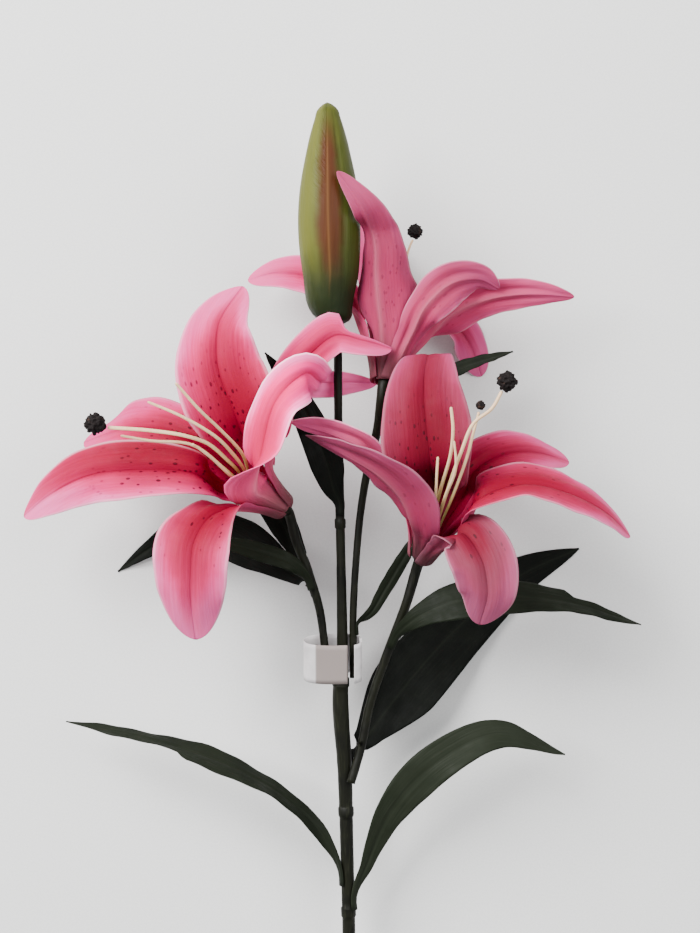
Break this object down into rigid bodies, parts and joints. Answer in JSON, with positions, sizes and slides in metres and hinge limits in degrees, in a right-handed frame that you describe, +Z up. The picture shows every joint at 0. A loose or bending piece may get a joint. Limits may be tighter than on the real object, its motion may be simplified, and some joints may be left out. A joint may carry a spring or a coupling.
{
  "type": "cut lily",
  "caption": "Cut lily spray lying on a surface: open pink blooms with long stamens, a closed bud, strap leaves and a blank paper band on a branched stem.",
  "frame": {"origin": "centre of the bounding box's bottom, on the surface that the spray lies on", "axes": "+Y from the cut end of the stem to the bud, +Z up off the surface, towards the viewer of the picture, +X to the picture's right"},
  "size_m": [0.3073, 0.6258, 0.1191],
  "materials": {
    "petal": "soft moulded petal, deep pink with pale edges and dark flecks",
    "leaf": "satin dark green leaf with fine lengthwise veins",
    "stem": "satin dark olive-brown stem",
    "bud": "satin olive green with an orange-brown stripe",
    "strand": "satin pale yellow strand",
    "pollen": "crumbly near-black pollen",
    "paper": "plain white paper"
  },
  "bodies": {
    "root": {"back_branch": "stem", "back_petal_left": "petal", "back_petal_lower": "petal", "back_petal_near_right": "petal", "back_petal_right": "petal", "back_petal_under": "petal", "back_petal_up": "petal", "back_stamens": "strand", "back_stigma": "pollen", "bud": "bud", "leaf_behind_left": "leaf", "leaf_big": "leaf", "leaf_centre": "leaf", "leaf_dark_left": "leaf", "leaf_green_left": "leaf", "leaf_low_left": "leaf", "leaf_low_right": "leaf", "leaf_right": "leaf", "leaf_small_back": "leaf", "leaf_strip": "leaf", "left_branch": "stem", "left_petal_down": "petal", "left_petal_far": "petal", "left_petal_long": "petal", "left_petal_near": "petal", "left_petal_right": "petal", "left_petal_up": "petal", "left_stamens": "strand", "left_stigma": "pollen", "main_stem": "stem", "paper_band": "paper", "right_anther": "pollen", "right_branch": "stem", "right_petal_down": "petal", "right_petal_far": "petal", "right_petal_left": "petal", "right_petal_left_far": "petal", "right_petal_long": "petal", "right_petal_up": "petal", "right_stamens": "strand", "right_stigma": "pollen"}
  },
  "joints": []
}
